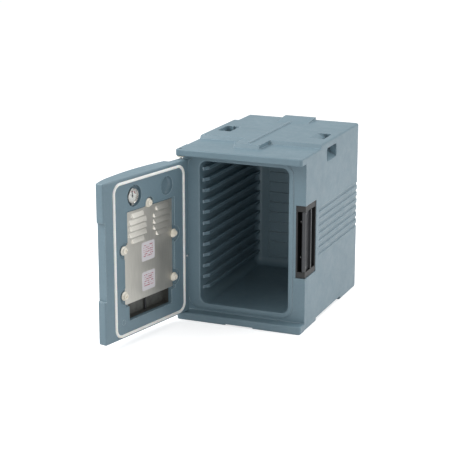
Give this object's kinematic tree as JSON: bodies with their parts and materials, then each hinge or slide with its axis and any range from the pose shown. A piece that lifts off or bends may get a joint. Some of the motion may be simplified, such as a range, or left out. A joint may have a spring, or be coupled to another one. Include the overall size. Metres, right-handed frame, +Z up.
{
  "type": "insulated food carrier",
  "caption": "Front-loading insulated food carrier with pan rails, a side-hinged door that holds a heater, a louvred heater cover, a dial thermometer and a folding side latch.",
  "frame": {"origin": "on the floor under the middle of the carcass footprint", "axes": "+X to the right of the front, +Y to the back, +Z up; the door faces -Y and is stored standing open"},
  "size_m": [0.5568, 1.05, 0.642],
  "materials": {
    "body_polyethylene": "rotomoulded polyethylene, slate blue, fine orange peel",
    "door_polyethylene": "rotomoulded polyethylene, slate blue, fine orange peel",
    "foam": "rigid closed-cell polyurethane foam, cream",
    "plug_plastic": "polyethylene plug, slate blue",
    "white_nylon": "natural nylon, satin",
    "black_nylon": "glass-filled nylon, black, fine texture",
    "lever_nylon": "glass-filled nylon, dark grey, satin",
    "stainless": "stainless sheet, brushed",
    "steel_pin": "bright steel rod",
    "zinc_screw": "bright plated steel",
    "seal_rubber": "silicone rubber, white, matt",
    "knob_plastic": "moulded nylon, cream, satin",
    "label_film": "printed polyester film, pale grey, blank",
    "insert_brass": "turned brass",
    "tray_steel": "aluminised sheet, matt",
    "element_steel": "heat-tinted tubular element",
    "ceramic_white": "steatite ceramic",
    "wire_silicone": "silicone-sleeved lead, black",
    "thermometer_steel": "spun stainless",
    "dial_white": "enamelled dial, white",
    "lens_glass": "flat clear glass",
    "pointer_black": "painted black",
    "lamp_lens": "clear red moulded lens"
  },
  "bodies": {
    "carcass": {"carcass_shell": "body_polyethylene", "carcass_foam": "foam", "carcass_plug": "plug_plastic", "hinge_bush_top": "white_nylon", "hinge_bush_bottom": "white_nylon", "latch_base": "black_nylon", "latch_screws": "zinc_screw", "latch_pin": "steel_pin"},
    "door": {"door_shell": "door_polyethylene", "door_foam": "foam", "door_plug": "plug_plastic", "hinge_rod": "steel_pin", "rod_lock_screw": "zinc_screw", "door_gasket": "seal_rubber", "louvred_cover": "stainless", "label_upper": "label_film", "label_lower": "label_film", "knob_inserts": "insert_brass", "heater_tray": "tray_steel", "heater_element": "element_steel", "element_clips": "ceramic_white", "thermostat": "ceramic_white", "thermal_cutoff": "thermometer_steel", "terminal_block": "ceramic_white", "wiring_harness": "wire_silicone", "power_inlet": "black_nylon", "inlet_pins": "steel_pin", "pilot_lamp": "lamp_lens", "thermometer_case": "thermometer_steel", "thermometer_dial": "dial_white", "thermometer_lens": "lens_glass", "pointer_spindle": "steel_pin", "thermometer_clip": "thermometer_steel"},
    "latch_lever": {"latch_lever": "lever_nylon"},
    "pointer": {"thermometer_pointer": "pointer_black"},
    "knob_1": {"cover_knob_1": "knob_plastic"},
    "knob_2": {"cover_knob_2": "knob_plastic"},
    "knob_3": {"cover_knob_3": "knob_plastic"},
    "knob_4": {"cover_knob_4": "knob_plastic"},
    "knob_5": {"cover_knob_5": "knob_plastic"}
  },
  "joints": [
    {"name": "door_swing", "type": "hinge", "parent": "carcass", "child": "door", "pos_m": [-0.2215, -0.297, 0.3], "axis": [0, 0, -1], "range_deg": [-102.3, 77.7]},
    {"name": "latch_swing", "type": "hinge", "parent": "carcass", "child": "latch_lever", "pos_m": [0.22, -0.258, 0.32], "axis": [0, 0, -1], "range_deg": [0, 180]},
    {"name": "pointer_turn", "type": "hinge", "parent": "door", "child": "pointer", "pos_m": [-0.26346, -0.58569, 0.512], "axis": [0.977, -0.213, 0], "range_deg": [-120, 120]},
    {"name": "knob_1_turn", "type": "hinge", "parent": "door", "child": "knob_1", "pos_m": [-0.24187, -0.50545, 0.472], "axis": [0.977, -0.213, 0], "range_deg": [0, 90]},
    {"name": "knob_2_turn", "type": "hinge", "parent": "door", "child": "knob_2", "pos_m": [-0.21301, -0.37306, 0.335], "axis": [0.977, -0.213, 0], "range_deg": [0, 90]},
    {"name": "knob_3_turn", "type": "hinge", "parent": "door", "child": "knob_3", "pos_m": [-0.21301, -0.37306, 0.178], "axis": [0.977, -0.213, 0], "range_deg": [0, 90]},
    {"name": "knob_4_turn", "type": "hinge", "parent": "door", "child": "knob_4", "pos_m": [-0.27074, -0.63783, 0.335], "axis": [0.977, -0.213, 0], "range_deg": [0, 90]},
    {"name": "knob_5_turn", "type": "hinge", "parent": "door", "child": "knob_5", "pos_m": [-0.27074, -0.63783, 0.178], "axis": [0.977, -0.213, 0], "range_deg": [0, 90]}
  ]
}
